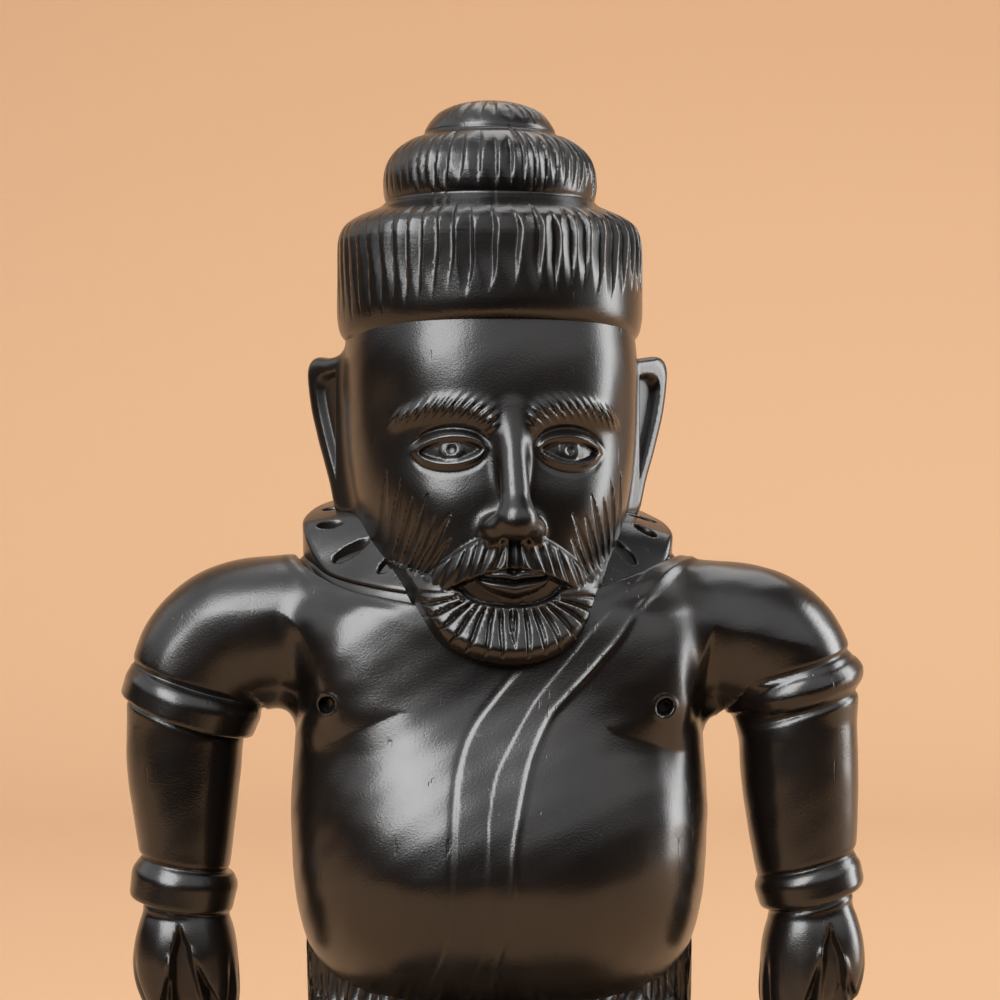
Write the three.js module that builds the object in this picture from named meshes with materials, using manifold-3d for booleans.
// A standing sage carved from one block of ebony, on a low base.
// Millimetres, +Z up. The figure looks along -Y and its left hand is at +X.
// The origin is at the middle of the underside of the base.

import * as THREE from 'three';
import { mergeVertices } from 'three/addons/utils/BufferGeometryUtils.js';
import Module from 'manifold-3d';

const wasm = await Module();
wasm.setup();

// Base: a low plate with a step round its top.
const BASE = {
  halfWidth: 42,
  halfDepth: 32,
  height: 10,
  corner: 24,
  stepHeight: 6.2,
  stepInset: 2.4,
  bevel: 0.8,
};

// Feet: a rounded instep with five toes, and the plain block behind them under the hem.
const FOOT = { apart: 12, y: -18.5, lift: 1.2, halfSizes: [6.4, 9.5, 5.6] };
const TOES = { count: 5, y: -26.6, first: -4.4, pitch: 2.3, curve: 0.45 };
const TOE_SIZE = { big: 2.1, next: 1.6, shrink: 0.12, narrow: 0.72, long: 1.35 };
const FOOT_BLOCK = { half: 24, front: 14, back: 15, power: 2.4 };

// Garment: a pleated waist cloth that hangs from under the belly to the feet.
const HEM_Z = 15;
const GARMENT_PLEATS = 24;
const GARMENT_POWER = 2.5;
const GARMENT = [
  { z: HEM_Z, half: 31, front: 22, back: 20, pleat: 1.6 },
  { z: 34, half: 30.6, front: 21.8, back: 19.6, pleat: 1.5 },
  { z: 56, half: 30.6, front: 21.6, back: 19.3, pleat: 1 },
  { z: 69.5, half: 30.9, front: 20, back: 19.4, pleat: 0.5 },
  { z: 71, half: 28, front: 17, back: 16.5, pleat: 0 },
];

// Torso: a round belly under a flat chest, as level ovals.
const TORSO_X = 0.5;
const TORSO = [
  { z: 58.5, half: 23, front: 19, back: 15 },
  { z: 61, half: 27, front: 24, back: 17.5 },
  { z: 66, half: 30.6, front: 27.3, back: 19.2 },
  { z: 73, half: 32, front: 28.7, back: 20 },
  { z: 81, half: 33, front: 29, back: 20.5 },
  { z: 90, half: 33.1, front: 27.9, back: 20.6 },
  { z: 98, half: 32.6, front: 24.9, back: 20.4 },
  { z: 104, half: 32.4, front: 21.9, back: 20 },
  { z: 112, half: 32.2, front: 20.2, back: 19.4 },
  { z: 119, half: 31, front: 18.4, back: 18.2 },
  { z: 125, half: 28, front: 15.2, back: 16 },
  { z: 130, half: 22, front: 12, back: 13.5 },
  { z: 134, half: 14, front: 9, back: 10 },
];
const TORSO_POWER = 2.35;
const TORSO_RINGS = [58.5, 61, 66, 73, 81, 89, 95, 99, 101.8, 104.6, 109, 116, 124, 130, 134];
const NIPPLE = { x: 25.9, z: 105.8, radius: 0.75, depth: 1.6 };
const CHEST_HOLLOW = { x: 20.5, z: 101.8, halfWidth: 5.8, halfHeight: 2.6, depth: 2.2 };

// Arms: level from the chest to a bend, then straight down to the wrist.
// Each station is a point on the arm's axis with its half widths across and from front to back.
const RIGHT_ARM = [
  { x: -16, z: 116.2, across: 12.2, deep: 12.6 },
  { x: -34, z: 116.4, across: 12.2, deep: 12.2 },
  { x: -43.2, z: 114, across: 12.2, deep: 12 },
  { x: -48, z: 108, across: 11, deep: 11.4 },
  { x: -49.6, z: 101, across: 9.5, deep: 10.2 },
  { x: -49.9, z: 93, across: 9, deep: 9.6 },
  { x: -49.7, z: 82, across: 7.5, deep: 8 },
  { x: -49.9, z: 71, across: 6.9, deep: 7.4 },
];
const LEFT_ARM = [
  { x: 16, z: 115.8, across: 12.2, deep: 12.6 },
  { x: 34, z: 115.6, across: 12.1, deep: 12.2 },
  { x: 43, z: 113.4, across: 12.1, deep: 12 },
  { x: 47, z: 107.4, across: 10.9, deep: 11.4 },
  { x: 48.2, z: 101, across: 9.6, deep: 10.2 },
  { x: 48.6, z: 93, across: 9.3, deep: 9.7 },
  { x: 49.3, z: 82, across: 8.4, deep: 8.6 },
  { x: 50, z: 71, across: 7.2, deep: 7.5 },
];

// Rings round the arms: a raised armlet above each elbow and a wristband.
const ARM_RINGS = [
  { x: -48.7, z: 105.6, across: 10.8, deep: 11.4, height: 5.4, tilt: 19, round: 0.9 },
  { x: 48, z: 107, across: 11, deep: 11.4, height: 5.4, tilt: -17, round: 1.9 },
  { x: -49.9, z: 76.6, across: 8.4, deep: 8.8, height: 6.2, tilt: 7, round: 1.9 },
  { x: 50.1, z: 76.4, across: 8.7, deep: 9, height: 5.6, tilt: -15, round: 1.9 },
];

// Hands: closed, hanging at the sides, with the thumb in front.
const HAND = { top: 74.5, bottom: 52.5, halfWidth: 8.3, halfDepth: 8, fingerPitch: 3.8, fingerCut: 0.9 };
const HAND_X = { right: -49.7, left: 50.7 };
const THUMB = { across: 2.6, deep: 3, halfLength: 7.4, lean: 13, outward: 0.8, y: -6.8, lift: 8.6 };

// Collar: a broad carved ring that slopes down to the front, with slots in its upper side.
const COLLAR = { z: 131.4, halfWidth: 30.6, halfDepth: 20.5, tilt: 20, height: 5, rise: 3.4, foot: 4 };
const COLLAR_SLOTS = { count: 12, covered: [2, 3, 8, 9], reach: 0.8, lift: 1.8, turn: 0.9 };
const SLOT_HALF_SIZES = [2.4, 1, 2];

// Section of the collar from its middle underneath, out round its edge and back over the top.
// Each entry is a share of the half width, then a distance from the lower or upper edge.
const COLLAR_UNDER = [[0, -COLLAR.foot], [0.84, -1.5], [0.98, 0]];
const COLLAR_OVER = [[1, -0.8], [0.96, 0], [0.62, COLLAR.rise], [0, COLLAR.rise]];
const NECK_HALF_GAP = 8;
const NECK = { half: 13, front: 12, back: 13, bottom: 122, top: 142 };

// Sash: two folds of cloth over the left shoulder, down the chest and belly to the waist.
// Each line is a list of [x, z] places on the front.
const SASH_INNER = [[7.5, 116], [2.2, 109.5], [-3, 103], [-5.6, 94.5], [-6.2, 83], [-6.8, 72.5], [-9.4, 62]];
const SASH_MIDDLE = [[26, 127.2], [20.7, 123.4], [13.5, 115.4], [4.7, 104.4], [0, 95], [-1.5, 83], [-4, 62]];
const SASH_OUTER = [[30, 127.2], [21, 117.9], [11.5, 107.2], [6.3, 98.5], [4, 88.5], [2.6, 77], [-2.9, 62]];
const SASH_PROUD = { inner: 0.75, overlap: 0.3, middle: 1.25, outer: 0.95, behind: 1, sag: 0.35 };

// The sash behind the shoulder, swung about a level line inside the chest, in degrees up from the front.
const SASH_BACK = { pivotZ: 106, from: 58, to: 246, start: 27, shoulder: 31, end: -17, width: 5, spread: 3 };

// How deep the hidden side of an applied piece of relief reaches into the body under it.
const ROOT_DEPTH = 3;

// Head: an egg shape turned a little towards the left shoulder, under a cap of hair.
const HEAD_X = -1;
const HEAD_YAW = 8.5;
const HEAD = [
  { z: 108.5, half: 4, front: 15.5, back: 4 },
  { z: 112, half: 9, front: 19.5, back: 6 },
  { z: 118, half: 14, front: 22.3, back: 9 },
  { z: 125, half: 17.8, front: 23.4, back: 11 },
  { z: 131, half: 20.2, front: 23.8, back: 13.5 },
  { z: 138, half: 21.9, front: 24.1, back: 17.5 },
  { z: 145, half: 22.8, front: 24.2, back: 20.6 },
  { z: 152, half: 23.2, front: 24.3, back: 22 },
  { z: 159, half: 23.3, front: 23.8, back: 22.6 },
  { z: 170, half: 22.4, front: 22, back: 22 },
];
const HEAD_POWER = 2.25;

// Face: common proportions, five eye widths across and thirds from hairline to chin.
const EYE_WIDTH = 9.2;
const EYE_Z = 144.8;
const BROW_Z = 149;
const NOSE_BASE_Z = 131;
const NOSE = { rootHalf: 2.1, wingHalf: 4, rootHeight: 1.5, tipHeight: 6.4 };
const SOCKET = { across: 6.2, up: 4.4, depth: 1.9, lift: 0.6 };
const EYE_SWELL = { across: 4.1, up: 2.5, height: 1.5 };
const BROW_RIDGE = { lift: 1.6, droop: 0.03, halfWidth: 1.5, height: 0.9, start: 1.5, end: 19 };
const CHEEK = { x: 12.5, z: 136, across: 5.5, up: 5, height: 0.9 };
const EYEBALL = { inset: 2.2, deep: 2.4, halfHeight: 2.3 };
const LID_ARCS = [
  { rise: 0.6, bow: 2.3, half: 5.4, width: 0.9, proud: 0.35, shift: 0.4 },
  { rise: -0.6, bow: -2.2, half: 5, width: 0.7, proud: 0.1, shift: 0.4 },
  { rise: 3.6, bow: 3.4, half: 7, width: 1.5, proud: 0.8, shift: 1.6 },
];
const MOUTH_Z = 125.2;
const LIPS = [
  { inset: 0.4, rise: 0.7, halfSizes: [5.6, 1.9, 1.1] },
  { inset: 0.2, rise: -1.3, halfSizes: [4.8, 2.2, 1.4] },
];

// Beard: locks that radiate from under the lower lip, and a drooping moustache.
const BEARD = {
  inner: { z: 123.6, half: 7.2, drop: 2 },
  outer: { z: 128.5, half: 18.6, drop: 16.4 },
  locks: 12,
  proud: 2.2,
  cut: 0.9,
};
const MOUSTACHE = { top: 128.6, reach: 14, drop: 8.6, width: 4.8, locks: 4, proud: 2.4, cut: 0.7 };

// Ears: long upright slabs with a raised rim, slanting back from the head.
const EAR = { top: 161.2, bottom: 134.4, reach: 12.6, reachLow: 6.4, thickness: 3.4, rim: 1.5, recess: 1.4 };
const EAR_SLANT = { right: 54, left: 37 };
const EAR_ROOT = { x: 19, y: 1.5, bow: 3, dip: 1.6, pocketStart: 4 };

// Hair: three fluted rolls of a piled bun. Each roll is a list of radii from its lower rim up.
const HAIR = [
  {
    flutes: 37,
    rows: [
      { z: 163, r: 23.7, cut: 0 },
      { z: 167.6, r: 24.5, cut: 0 },
      { z: 178, r: 24.1, cut: 1.3 },
      { z: 181.8, r: 22.1, cut: 1.1 },
      { z: 184.6, r: 17, cut: 0 },
    ],
  },
  {
    flutes: 28,
    rows: [
      { z: 184.2, r: 17.1, cut: 0.1 },
      { z: 190, r: 16.8, cut: 0.9 },
      { z: 193.2, r: 14.7, cut: 0.8 },
      { z: 195.4, r: 10.4, cut: 0 },
    ],
  },
  {
    flutes: 16,
    rows: [
      { z: 194.8, r: 10.2, cut: 0 },
      { z: 198.6, r: 9.3, cut: 0.5 },
      { z: 200.3, r: 6.6, cut: 0.3 },
      { z: 201, r: 2.2, cut: 0 },
    ],
  },
];

const HAIR_ARCH = 2.4;
const HAIR_ARCH_TOP = 169;

// How finely each form is faceted: points round it, and rows along it.
const FACETS = {
  base: 3,
  footBlock: 16,
  torso: 28,
  arm: { round: 12, along: 10 },
  armRing: 12,
  hand: { round: 12, along: 6 },
  collar: 24,
  neck: 12,
  sash: { across: 3, along: 12 },
  sashBehind: { across: 2, along: 13 },
  head: { front: 20, back: 6, along: 19 },
  lid: 5,
  beard: 5,
  moustache: 4,
  ear: 3,
};

const RAD = Math.PI / 180;

/** Value kept between two limits. */
function clamp(value, low, high) {
  return Math.min(high, Math.max(low, value));
}

/** Smooth step from 0 at low to 1 at high. */
function rise(low, high, value) {
  const t = clamp((value - low) / (high - low), 0, 1);
  return t * t * (3 - 2 * t);
}

/** Bell curve of height 1 at zero. */
function bell(distance) {
  return Math.exp(-distance * distance);
}

/** Fixed irregularity between -0.5 and 0.5 for the nth carved stroke. */
function wander(n) {
  const value = Math.sin(n * 12.9898 + 4.1) * 43758.5453;
  return value - Math.floor(value) - 0.5;
}

/** Smooth value of every field of a list of stations at height z. */
function stationAt(stations, z) {
  const last = stations.length - 1;
  let i = 0;
  while (i < last - 1 && z > stations[i + 1].z) i += 1;
  const low = stations[i];
  const high = stations[i + 1];
  const before = stations[Math.max(i - 1, 0)];
  const after = stations[Math.min(i + 2, last)];
  const step = high.z - low.z;
  const t = clamp((z - low.z) / step, 0, 1);
  const out = { z };
  for (const key of Object.keys(low)) {
    if (key === 'z') continue;
    const slopeLow = ((high[key] - before[key]) / (high.z - before.z)) * step;
    const slopeHigh = ((after[key] - low[key]) / (after.z - low.z)) * step;
    out[key] = (2 * t ** 3 - 3 * t ** 2 + 1) * low[key] + (t ** 3 - 2 * t ** 2 + t) * slopeLow
      + (3 * t ** 2 - 2 * t ** 3) * high[key] + (t ** 3 - t ** 2) * slopeHigh;
  }
  return out;
}

/** Even heights from the first to the last station. */
function levels(stations, count) {
  const bottom = stations[0].z;
  const top = stations[stations.length - 1].z;
  return Array.from({ length: count }, (_, i) => bottom + ((top - bottom) * i) / (count - 1));
}

/** Point on a level oval at an angle, with separate depths in front of and behind its middle. */
function ovalPoint(oval, power, angle) {
  const c = Math.cos(angle);
  const s = Math.sin(angle);
  const across = Math.sign(c) * Math.abs(c) ** (2 / power);
  const along = Math.sign(s) * Math.abs(s) ** (2 / power);
  const depth = s < 0 ? oval.front : oval.back;
  return new THREE.Vector3((oval.x ?? 0) + oval.half * across, (oval.y ?? 0) + depth * along, oval.z);
}

/** Ring of evenly spaced points on a level oval. */
function ovalRing(oval, power, sides) {
  return Array.from({ length: sides }, (_, i) => ovalPoint(oval, power, (2 * Math.PI * i) / sides));
}

/** Geometry of a list of points and a list of triangle corners. */
function geometryOf(points, corners) {
  const geometry = new THREE.BufferGeometry().setFromPoints(points);
  geometry.setIndex(corners);
  return geometry;
}

/** Closed skin through rings of equally many points, with a flat fan over each end. */
function loft(rings) {
  const sides = rings[0].length;
  const points = rings.flat();
  const corners = [];
  for (let r = 0; r < rings.length - 1; r += 1) {
    for (let s = 0; s < sides; s += 1) {
      const a = r * sides + s;
      const b = r * sides + ((s + 1) % sides);
      corners.push(a, b, b + sides, a, b + sides, a + sides);
    }
  }
  for (const end of [0, rings.length - 1]) {
    const middle = rings[end].reduce((sum, p) => sum.add(p), new THREE.Vector3()).divideScalar(sides);
    points.push(middle);
    for (let s = 0; s < sides; s += 1) {
      const a = end * sides + s;
      const b = end * sides + ((s + 1) % sides);
      corners.push(points.length - 1, end ? a : b, end ? b : a);
    }
  }
  return geometryOf(points, corners);
}

/** Closed plate between an outer and an inner sheet of points, each given by column and row. */
function plate(columns, rows, outer, inner) {
  const rings = [];
  for (let row = 0; row < rows; row += 1) {
    const ring = [];
    for (let column = 0; column < columns; column += 1) ring.push(outer(column, row));
    for (let column = columns - 1; column >= 0; column -= 1) ring.push(inner(column, row));
    rings.push(ring);
  }
  return loft(rings);
}

/** Solid of a closed geometry, with its faces turned out. */
function solidOf(geometry) {
  const bare = geometry.clone();
  bare.deleteAttribute('normal');
  bare.deleteAttribute('uv');
  const merged = mergeVertices(bare, 1e-4);
  const place = merged.getAttribute('position');
  const corners = Array.from(merged.index.array);
  const kept = [];
  let volume = 0;
  const [p, q, r] = [new THREE.Vector3(), new THREE.Vector3(), new THREE.Vector3()];
  for (let i = 0; i < corners.length; i += 3) {
    const [a, b, c] = corners.slice(i, i + 3);
    if (a === b || b === c || c === a) continue;
    kept.push(a, b, c);
    p.fromBufferAttribute(place, a);
    q.fromBufferAttribute(place, b);
    r.fromBufferAttribute(place, c);
    volume += p.dot(q.cross(r));
  }
  if (volume < 0) kept.reverse();
  const vertProperties = Float32Array.from(place.array);
  const triVerts = Uint32Array.from(kept);
  return new wasm.Manifold(new wasm.Mesh({ numProp: 3, vertProperties, triVerts }));
}

/** Solid of a geometry after a turn and a move. */
function placed(geometry, matrix) {
  return solidOf(geometry.clone().applyMatrix4(matrix));
}

/** Ball stretched to three half sizes about a centre. */
function ball(centre, halfSizes, around = 8, along = 4) {
  const geometry = new THREE.SphereGeometry(1, around, along);
  geometry.rotateX(Math.PI / 2);
  geometry.scale(...halfSizes);
  geometry.translate(...centre);
  return solidOf(geometry);
}

/** All the solids joined into one. */
function joined(solids) {
  return solids.reduce((sum, solid) => sum.add(solid));
}

/** Stepped base plate. */
function base() {
  const plateAt = (inset, bottom, top) => {
    const shape = new THREE.Shape();
    const halfWidth = BASE.halfWidth - inset;
    const halfDepth = BASE.halfDepth - inset;
    const corner = BASE.corner - inset;
    shape.moveTo(halfWidth, halfDepth - corner);
    shape.absarc(halfWidth - corner, halfDepth - corner, corner, 0, Math.PI / 2);
    shape.absarc(corner - halfWidth, halfDepth - corner, corner, Math.PI / 2, Math.PI);
    shape.absarc(corner - halfWidth, corner - halfDepth, corner, Math.PI, 1.5 * Math.PI);
    shape.absarc(halfWidth - corner, corner - halfDepth, corner, 1.5 * Math.PI, 2 * Math.PI);
    const geometry = new THREE.ExtrudeGeometry(shape, {
      depth: top - bottom - 2 * BASE.bevel,
      bevelThickness: BASE.bevel,
      bevelSize: BASE.bevel,
      bevelOffset: -BASE.bevel,
      bevelSegments: 1,
      curveSegments: FACETS.base,
    });
    geometry.translate(0, 0, bottom + BASE.bevel);
    return solidOf(geometry);
  };
  return joined([plateAt(0, 0, BASE.stepHeight), plateAt(BASE.stepInset, BASE.stepHeight - 2, BASE.height)]);
}

/** Pleated cloth from the waist to the ankles. */
function garment() {
  const rings = GARMENT.map((oval) => {
    const ring = [];
    for (let i = 0; i < GARMENT_PLEATS * 2; i += 1) {
      const angle = ((i + 0.35 * wander(i)) * Math.PI) / GARMENT_PLEATS;
      const point = ovalPoint({ ...oval, x: TORSO_X }, GARMENT_POWER, angle);
      if (i % 2) {
        const shrink = 1 - (oval.pleat * (1 + 0.5 * wander(i + 90))) / oval.half;
        point.x = TORSO_X + (point.x - TORSO_X) * shrink;
        point.y *= shrink;
      }
      ring.push(point);
    }
    return ring;
  });
  return solidOf(loft(rings));
}

/** Bare feet with round toes, and the plain block under the hem that they are cut from. */
function feet() {
  const blockRings = [BASE.height - 1, HEM_Z + 1].map((z) => {
    const oval = { ...FOOT_BLOCK, x: TORSO_X, z };
    return ovalRing(oval, oval.power, FACETS.footBlock);
  });
  const solids = [solidOf(loft(blockRings))];
  for (const side of [-1, 1]) {
    const x = TORSO_X + side * FOOT.apart;
    solids.push(ball([x, FOOT.y, BASE.height + FOOT.lift], FOOT.halfSizes));
    for (let toe = 0; toe < TOES.count; toe += 1) {
      const size = toe === 0 ? TOE_SIZE.big : TOE_SIZE.next - TOE_SIZE.shrink * toe;
      const halfSizes = [size * TOE_SIZE.narrow, size * TOE_SIZE.long, size];
      const toeX = x + side * (TOES.first + toe * TOES.pitch);
      const toeY = TOES.y + TOES.curve * toe ** 1.5;
      solids.push(ball([toeX, toeY, BASE.height + 0.9], halfSizes, 6, 3));
    }
  }
  return joined(solids);
}

/** Level upper arm on one side, which carries on through the shoulder. */
function shoulderOn(x) {
  return x < 0 ? RIGHT_ARM[1] : LEFT_ARM[1];
}

/** Front surface of the trunk, torso and shoulders together, as a y value. */
function frontAt(x, z) {
  const oval = stationAt(TORSO, z);
  const share = Math.min(1, Math.abs((x - TORSO_X) / oval.half));
  const torsoDepth = oval.front * (1 - share ** TORSO_POWER) ** (1 / TORSO_POWER);
  const arm = shoulderOn(x);
  const reach = clamp((z - arm.z) / arm.across, -0.97, 0.97);
  const shoulderDepth = Math.abs(x) > NECK_HALF_GAP ? arm.deep * Math.sqrt(1 - reach * reach) : 0;
  return -Math.max(torsoDepth, shoulderDepth);
}

/** Depth of the hollow under each breast at a place on the chest. */
function chestHollow(x, z) {
  let depth = 0;
  for (const side of [-1, 1]) {
    const dx = (x - TORSO_X - side * CHEST_HOLLOW.x) / CHEST_HOLLOW.halfWidth;
    const dz = (z - CHEST_HOLLOW.z) / CHEST_HOLLOW.halfHeight;
    depth += CHEST_HOLLOW.depth * bell(Math.hypot(dx, dz));
  }
  return depth;
}

/** Belly, chest and back, with a small drilled hole at each nipple. */
function torso() {
  const rings = TORSO_RINGS.map((z) => {
    const ring = ovalRing({ ...stationAt(TORSO, z), x: TORSO_X }, TORSO_POWER, FACETS.torso);
    for (const point of ring) {
      if (point.y < 0) point.y += chestHollow(point.x, z);
    }
    return ring;
  });
  let solid = solidOf(loft(rings));
  for (const side of [-1, 1]) {
    const x = TORSO_X + side * NIPPLE.x;
    const hole = new THREE.CylinderGeometry(NIPPLE.radius, NIPPLE.radius, NIPPLE.depth * 2, 8);
    hole.translate(x, frontAt(x, NIPPLE.z) - NIPPLE.depth / 2, NIPPLE.z);
    solid = solid.subtract(solidOf(hole));
  }
  return solid;
}

/** Tube along an arm's axis, which lies in a plane facing the front. */
function armTube(stations) {
  const axis = new THREE.CatmullRomCurve3(stations.map((s) => new THREE.Vector3(s.x, 0, s.z)));
  const rings = [];
  for (let i = 0; i <= FACETS.arm.along; i += 1) {
    const t = i / FACETS.arm.along;
    const centre = axis.getPoint(t);
    const tangent = axis.getTangent(t);
    const across = new THREE.Vector3(-tangent.z, 0, tangent.x);
    const place = t * (stations.length - 1);
    const at = Math.min(Math.floor(place), stations.length - 2);
    const halfAcross = THREE.MathUtils.lerp(stations[at].across, stations[at + 1].across, place - at);
    const halfDeep = THREE.MathUtils.lerp(stations[at].deep, stations[at + 1].deep, place - at);
    const ring = [];
    for (let s = 0; s < FACETS.arm.round; s += 1) {
      const angle = (2 * Math.PI * s) / FACETS.arm.round;
      const point = centre.clone().addScaledVector(across, halfAcross * Math.cos(angle));
      point.y += halfDeep * Math.sin(angle);
      ring.push(point);
    }
    rings.push(ring);
  }
  return solidOf(loft(rings));
}

/** Ring round an arm, a short oval drum with rounded edges. */
function armRing(ring) {
  const half = ring.height / 2;
  const soft = ring.round / ring.across;
  const profile = [
    new THREE.Vector2(0, -half),
    new THREE.Vector2(1 - soft, -half),
    new THREE.Vector2(1, -half + ring.round),
    new THREE.Vector2(1, half - ring.round),
    new THREE.Vector2(1 - soft, half),
    new THREE.Vector2(0, half),
  ];
  const geometry = new THREE.LatheGeometry(profile, FACETS.armRing);
  geometry.rotateX(Math.PI / 2);
  geometry.scale(ring.across, ring.deep, 1);
  geometry.rotateY(ring.tilt * RAD);
  geometry.translate(ring.x, 0, ring.z);
  return solidOf(geometry);
}

/** Closed hand, scalloped where the four fingers curl side by side, with the thumb in front. */
function hand(x, outward) {
  const { round, along } = FACETS.hand;
  const rings = [];
  for (let row = 0; row < along; row += 1) {
    const t = (row / (along - 1)) * 2 - 1;
    const bulge = Math.sqrt(1 - (0.97 * t) ** 2) ** 0.8;
    const z = THREE.MathUtils.lerp(HAND.bottom, HAND.top, (t + 1) / 2);
    const cut = HAND.fingerCut * (1 - rise(-0.5, 0.1, t));
    const ring = [];
    for (let i = 0; i < round; i += 1) {
      const angle = (2 * Math.PI * i) / round;
      const outer = Math.sign(Math.cos(angle));
      const y = HAND.halfDepth * bulge * Math.sin(angle);
      const groove = cut * Math.abs(Math.cos((y / HAND.fingerPitch) * Math.PI)) ** 4;
      const reach = HAND.halfWidth * bulge * Math.abs(Math.cos(angle)) ** 0.7 - groove;
      ring.push(new THREE.Vector3(x + outer * Math.max(reach, 0), y, z));
    }
    rings.push(ring);
  }
  const thumb = new THREE.SphereGeometry(1, 6, 6);
  thumb.rotateX(Math.PI / 2);
  thumb.scale(THUMB.across, THUMB.deep, THUMB.halfLength);
  thumb.rotateY(-outward * THUMB.lean * RAD);
  thumb.translate(x + outward * THUMB.outward, THUMB.y, HAND.bottom + THUMB.lift);
  return solidOf(loft(rings)).add(solidOf(thumb));
}

/** Carved ring on the shoulders, tilted down to the front, with slots in its upper side. */
function collar() {
  const half = COLLAR.height / 2;
  const profile = [
    ...COLLAR_UNDER.map(([share, lift]) => new THREE.Vector2(share, lift - half)),
    ...COLLAR_OVER.map(([share, lift]) => new THREE.Vector2(share, half + lift)),
  ];
  const tilted = new THREE.Matrix4().makeRotationX(COLLAR.tilt * RAD);
  tilted.setPosition(0, 0, COLLAR.z);
  const ring = new THREE.LatheGeometry(profile, FACETS.collar);
  ring.rotateX(Math.PI / 2);
  ring.scale(COLLAR.halfWidth, COLLAR.halfDepth, 1);
  let solid = placed(ring, tilted);
  for (let i = 0; i < COLLAR_SLOTS.count; i += 1) {
    if (COLLAR_SLOTS.covered.includes(i)) continue;
    const angle = ((i + 0.5) * 2 * Math.PI) / COLLAR_SLOTS.count;
    const slot = new THREE.SphereGeometry(1, 6, 3);
    slot.rotateX(Math.PI / 2);
    slot.scale(...SLOT_HALF_SIZES);
    slot.rotateZ(angle + COLLAR_SLOTS.turn);
    const x = COLLAR_SLOTS.reach * COLLAR.halfWidth * Math.cos(angle);
    const y = COLLAR_SLOTS.reach * COLLAR.halfDepth * Math.sin(angle);
    slot.translate(x, y, half + COLLAR_SLOTS.lift);
    solid = solid.subtract(placed(slot, tilted));
  }
  return solid;
}

/** Curve on the front through [x, z] places. */
function frontLine(places) {
  return new THREE.CatmullRomCurve3(places.map(([x, z]) => new THREE.Vector3(x, 0, z)));
}

/** Fold of cloth lying on the front between two lines, proud by its own amount at each. */
function foldOnFront(firstLine, secondLine, firstProud, secondProud) {
  const { across, along } = FACETS.sash;
  const [first, second] = [frontLine(firstLine), frontLine(secondLine)];
  const sheet = (liftAt) => (column, row) => {
    const share = column / (across - 1);
    const t = row / (along - 1);
    const point = first.getPoint(t).lerp(second.getPoint(t), share);
    point.y = frontAt(point.x, point.z) - liftAt(share);
    return point;
  };
  const outer = (share) => THREE.MathUtils.lerp(firstProud, secondProud, share)
    - SASH_PROUD.sag * Math.sin(Math.PI * share);
  return solidOf(plate(across, along, sheet(outer), sheet(() => -ROOT_DEPTH)));
}

/** Distance from the pivot line to the trunk's surface, swinging up from the front and over the back. */
function trunkReach(x, swing) {
  const arm = shoulderOn(x);
  const besideNeck = Math.abs(x) > NECK_HALF_GAP;
  const topZ = TORSO[TORSO.length - 1].z;
  const inside = (reach) => {
    const y = -reach * Math.cos(swing);
    const z = SASH_BACK.pivotZ + reach * Math.sin(swing);
    const oval = stationAt(TORSO, z);
    const share = Math.abs((x - TORSO_X) / oval.half);
    const depth = Math.abs(y / (y < 0 ? oval.front : oval.back));
    const inTorso = z < topZ && depth ** TORSO_POWER + share ** TORSO_POWER < 1;
    const inShoulder = besideNeck && Math.hypot(y / arm.deep, (z - arm.z) / arm.across) < 1;
    return inTorso || inShoulder;
  };
  let low = 0;
  let high = BASE.halfWidth * 2;
  for (let halving = 0; halving < 26; halving += 1) {
    const middle = (low + high) / 2;
    if (inside(middle)) low = middle;
    else high = middle;
  }
  return low;
}

/** Part of the sash that crosses the shoulder and runs down the back to the other hip. */
function sashBehind() {
  const { across, along } = FACETS.sashBehind;
  const sheet = (lift) => (column, row) => {
    const t = row / (along - 1);
    const swing = THREE.MathUtils.lerp(SASH_BACK.from, SASH_BACK.to, t) * RAD;
    const top = THREE.MathUtils.lerp(SASH_BACK.start, SASH_BACK.shoulder, rise(0, 0.2, t));
    const middle = THREE.MathUtils.lerp(top, SASH_BACK.end, rise(0.25, 1.1, t));
    const width = SASH_BACK.width + SASH_BACK.spread * rise(0.2, 0.6, t);
    const x = middle + width * (column / (across - 1) - 0.5);
    const reach = trunkReach(x, swing) + (lift > 0 ? lift * rise(-0.05, 0.12, t) : lift);
    return new THREE.Vector3(x, -reach * Math.cos(swing), SASH_BACK.pivotZ + reach * Math.sin(swing));
  };
  return solidOf(plate(across, along, sheet(SASH_PROUD.behind), sheet(-ROOT_DEPTH)));
}

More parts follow.
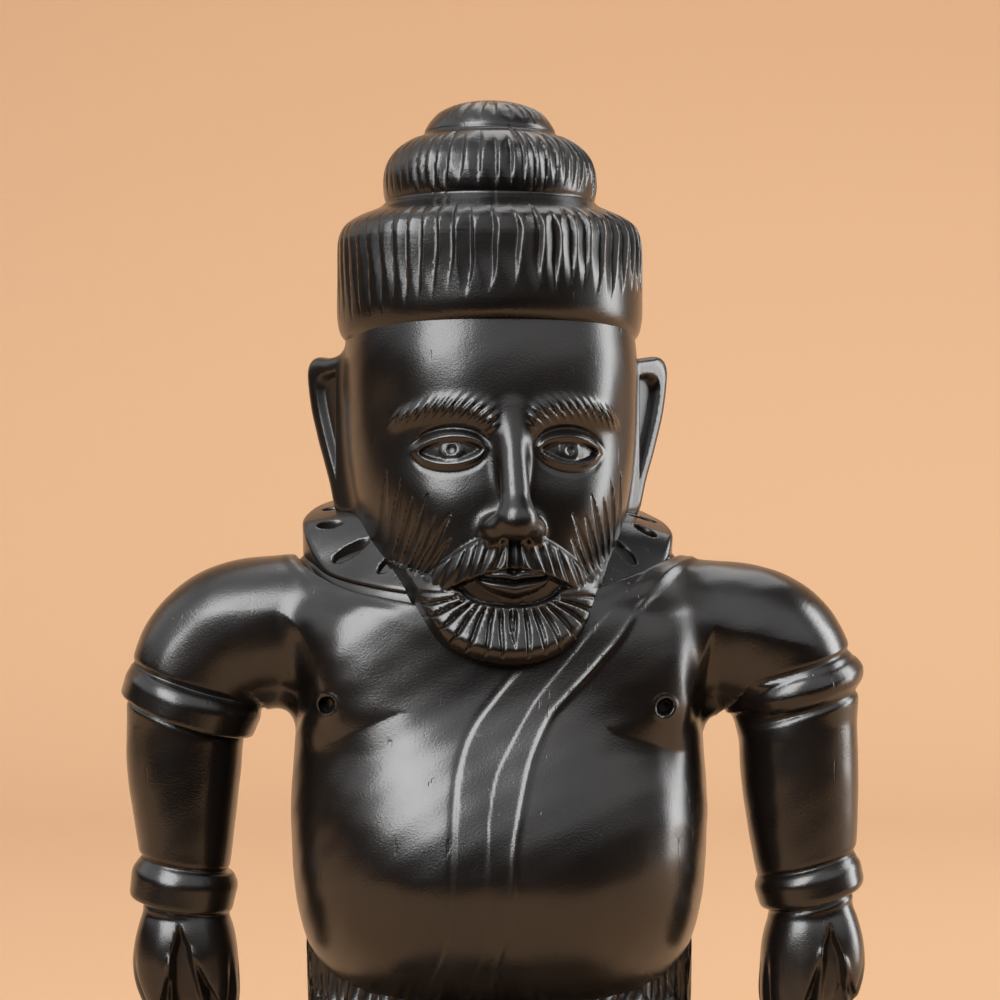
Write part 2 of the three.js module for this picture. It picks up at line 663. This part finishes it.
/** How far the carved face stands out from the plain egg of the head. */
function faceRelief(across, z) {
  const side = Math.abs(across);
  const mound = (form, x, z0) => bell(Math.hypot((side - x) / form.across, (z - z0) / form.up));
  const socket = -SOCKET.depth * mound(SOCKET, EYE_WIDTH, EYE_Z + SOCKET.lift);
  const eye = EYE_SWELL.height * mound(EYE_SWELL, EYE_WIDTH, EYE_Z);
  const cheek = CHEEK.height * mound(CHEEK, CHEEK.x, CHEEK.z);
  const browLine = BROW_Z + BROW_RIDGE.lift - BROW_RIDGE.droop * (side - EYE_WIDTH) ** 2;
  const { start, end } = BROW_RIDGE;
  const browSpan = rise(start, start + 2.5, side) * (1 - rise(end - 4, end, side));
  const brow = BROW_RIDGE.height * bell((z - browLine) / BROW_RIDGE.halfWidth) * browSpan;
  const bridgeZ = BROW_Z - 1;
  const fall = clamp((bridgeZ - z) / (bridgeZ - NOSE_BASE_Z), 0, 1);
  const noseHalf = THREE.MathUtils.lerp(NOSE.rootHalf, NOSE.wingHalf, fall ** 2);
  const noseHeight = THREE.MathUtils.lerp(NOSE.rootHeight, NOSE.tipHeight, fall ** 1.3);
  const noseSpan = rise(NOSE_BASE_Z - 1.5, NOSE_BASE_Z + 0.8, z) * (1 - rise(bridgeZ, bridgeZ + 6, z));
  return socket + eye + brow + cheek + noseHeight * bell(across / noseHalf) * noseSpan;
}

/** Front surface of the plain head at a place across and up, as a y value. */
function headFront(across, z) {
  const oval = stationAt(HEAD, z);
  const share = clamp(Math.abs(across / oval.half), 0, 0.985);
  return -oval.front * (1 - share ** HEAD_POWER) ** (1 / HEAD_POWER);
}

/** Head with the carved face on its front. */
function head() {
  const { front, back, along } = FACETS.head;
  const rings = levels(HEAD, along).map((z) => {
    const oval = stationAt(HEAD, z);
    const ring = [];
    for (let i = 0; i < front; i += 1) {
      const turn = -1 + (2 * i) / front;
      const across = oval.half * Math.sin((turn * Math.PI) / 2);
      const y = i === 0 ? 0 : headFront(across, z) - faceRelief(across, z) * (1 - Math.abs(turn) ** 6);
      ring.push(new THREE.Vector3(across, y, z));
    }
    for (let i = 0; i < back; i += 1) ring.push(ovalPoint(oval, HEAD_POWER, (Math.PI * i) / back));
    return ring;
  });
  return solidOf(loft(rings));
}

/** Full short beard of locks that fan out from under the lower lip. */
function beard() {
  const columns = BEARD.locks * 2 + 1;
  const rows = FACETS.beard;
  const { inner, outer } = BEARD;
  const sheet = (proud) => (column, row) => {
    const angle = Math.PI * (1 + (column + 0.3 * wander(column)) / (columns - 1));
    const t = row / (rows - 1);
    const across = THREE.MathUtils.lerp(inner.half, outer.half, t) * Math.cos(angle);
    const drop = THREE.MathUtils.lerp(inner.drop, outer.drop, t);
    const z = THREE.MathUtils.lerp(inner.z, outer.z, t) + drop * Math.sin(angle);
    const cut = column % 2 && t < 0.99 ? BEARD.cut : 0;
    const lift = proud > 0 ? proud * Math.sin(Math.PI * (0.12 + 0.74 * t)) - cut : proud;
    return new THREE.Vector3(across, headFront(across, z) - lift, z);
  };
  return solidOf(plate(columns, rows, sheet(BEARD.proud), sheet(-ROOT_DEPTH)));
}

/** Half of the moustache, drooping past the corner of the mouth. */
function moustache(side) {
  const columns = MOUSTACHE.locks * 2 + 1;
  const rows = FACETS.moustache;
  const sheet = (proud) => (column, row) => {
    const t = column / (columns - 1);
    const share = row / (rows - 1) - 0.5;
    const across = side * (MOUSTACHE.reach * t - 1.6 * share * t);
    const width = MOUSTACHE.width * (1 - 0.55 * t ** 2);
    const z = MOUSTACHE.top - MOUSTACHE.drop * t ** 1.8 + width * share;
    const cut = column % 2 ? MOUSTACHE.cut : 0;
    const lift = proud > 0 ? (proud - cut) * (1 - 0.9 * (2 * share) ** 2) * (1 - 0.35 * t) : proud;
    return new THREE.Vector3(across, headFront(across, z) - lift, z);
  };
  return solidOf(plate(columns, rows, sheet(MOUSTACHE.proud), sheet(-ROOT_DEPTH)));
}

/** Eyes with an arched lid over each, and the brows above them. */
function eyesAndBrows() {
  const solids = [];
  for (const side of [-1, 1]) {
    const x = side * EYE_WIDTH;
    const y = headFront(x, EYE_Z) + EYEBALL.inset;
    solids.push(ball([x, y, EYE_Z], [EYE_WIDTH / 2, EYEBALL.deep, EYEBALL.halfHeight]));
    for (const arc of LID_ARCS) {
      const sheet = (lift) => (column, row) => {
        const t = (2 * column) / (FACETS.lid - 1) - 1;
        const across = x + side * 0.5 * arc.shift + arc.half * t;
        const taper = 1 - 0.8 * t * t;
        const z = EYE_Z + arc.rise + arc.bow * (1 - t * t) + (row - 0.5) * arc.width * taper;
        return new THREE.Vector3(across, headFront(across, z) - lift * (lift > 0 ? taper : 1), z);
      };
      solids.push(solidOf(plate(FACETS.lid, 2, sheet(arc.proud), sheet(-ROOT_DEPTH))));
    }
  }
  return joined(solids);
}

/** Upper and lower lip. */
function lips() {
  const y = headFront(0, MOUTH_Z);
  return joined(LIPS.map((lip) => ball([0, y + lip.inset, MOUTH_Z + lip.rise], lip.halfSizes)));
}

/** Outline of an ear from its root outwards, drawn in by an inset all round. */
function earOutline(inset) {
  const height = EAR.top - EAR.bottom;
  const start = inset ? EAR_ROOT.pocketStart : 0;
  const top = height - inset;
  const low = EAR.reachLow - inset;
  const shape = new THREE.Shape();
  shape.moveTo(start, inset);
  shape.lineTo(low, inset);
  shape.quadraticCurveTo(low + EAR_ROOT.bow, 0.45 * height, EAR.reach - inset, top);
  shape.quadraticCurveTo(0.5 * EAR.reach, top - EAR_ROOT.dip, start, top - 0.4);
  shape.closePath();
  return shape;
}

/** Ear on one side, a slab with a recess inside its rim. */
function ear(side) {
  const extruded = (inset, depth) => new THREE.ExtrudeGeometry(earOutline(inset), {
    depth,
    bevelEnabled: false,
    curveSegments: FACETS.ear,
  });
  const slab = extruded(0, EAR.thickness);
  const pocket = extruded(EAR.rim, EAR.recess * 2);
  pocket.translate(0, 0, EAR.thickness - EAR.recess);
  const slant = side > 0 ? EAR_SLANT.left : EAR_SLANT.right;
  const place = new THREE.Matrix4().makeRotationZ(slant * RAD);
  place.setPosition(EAR_ROOT.x, EAR_ROOT.y, EAR.bottom);
  place.multiply(new THREE.Matrix4().makeRotationX(Math.PI / 2));
  const solid = placed(slab, place).subtract(placed(pocket, place));
  return side > 0 ? solid : solid.mirror([1, 0, 0]);
}

/** Roll of hair with gouged flutes, its lower rim arched up over the brow. */
function hairRoll(roll, index) {
  const { flutes, rows } = roll;
  const rings = rows.map((row) => {
    const ring = [];
    for (let i = 0; i < flutes * 2; i += 1) {
      const angle = ((i + 0.4 * wander(i + 40 * index)) * Math.PI) / flutes;
      const depth = i % 2 ? row.cut * (1 + 0.5 * wander(i + 7)) : 0;
      const radius = row.r - depth;
      const nearRim = clamp((HAIR_ARCH_TOP - row.z) / 6, 0, 1);
      const arch = HAIR_ARCH * nearRim * Math.max(0, -Math.sin(angle)) ** 3;
      ring.push(new THREE.Vector3(radius * Math.cos(angle), radius * Math.sin(angle), row.z + arch));
    }
    return ring;
  });
  return solidOf(loft(rings));
}

/** Head, face, ears and hair, turned together. */
function headAndHair() {
  const solids = [head(), eyesAndBrows(), lips(), beard(), moustache(-1), moustache(1), ear(-1), ear(1)];
  HAIR.forEach((roll, index) => solids.push(hairRoll(roll, index)));
  return joined(solids).rotate([0, 0, HEAD_YAW]).translate([HEAD_X, 0, 0]);
}

/** The whole carving as one solid. */
function figure() {
  const neckRings = [NECK.bottom, NECK.top].map((z) => ovalRing({ ...NECK, z }, 2, FACETS.neck));
  const sash = [
    foldOnFront(SASH_INNER, SASH_MIDDLE, SASH_PROUD.inner, SASH_PROUD.overlap),
    foldOnFront(SASH_MIDDLE, SASH_OUTER, SASH_PROUD.middle, SASH_PROUD.outer),
    sashBehind(),
  ];
  return withoutPockets(joined([
    base(),
    feet(),
    garment(),
    torso(),
    armTube(RIGHT_ARM),
    armTube(LEFT_ARM),
    ...ARM_RINGS.map(armRing),
    hand(HAND_X.right, -1),
    hand(HAND_X.left, 1),
    ...sash,
    solidOf(loft(neckRings)),
    collar(),
    headAndHair(),
  ]));
}

/** The outer skin of a solid alone, so that no pocket is left sealed inside the wood. */
function withoutPockets(solid) {
  return solid.decompose().reduce((most, body) => (body.volume() > most.volume() ? body : most));
}

/** Mesh of a solid in one material. */
function meshOf(name, solid, material) {
  const made = solid.getMesh();
  const geometry = new THREE.BufferGeometry();
  geometry.setAttribute('position', new THREE.BufferAttribute(made.vertProperties, made.numProp));
  geometry.setIndex(new THREE.BufferAttribute(made.triVerts, 1));
  geometry.computeVertexNormals();
  const mesh = new THREE.Mesh(geometry, material);
  mesh.name = name;
  return mesh;
}

const ebony = new THREE.MeshStandardMaterial({ color: 0x17120f, roughness: 0.28, metalness: 0 });

const statue = new THREE.Group();
statue.add(meshOf('carved_figure', figure(), ebony));

export default statue;
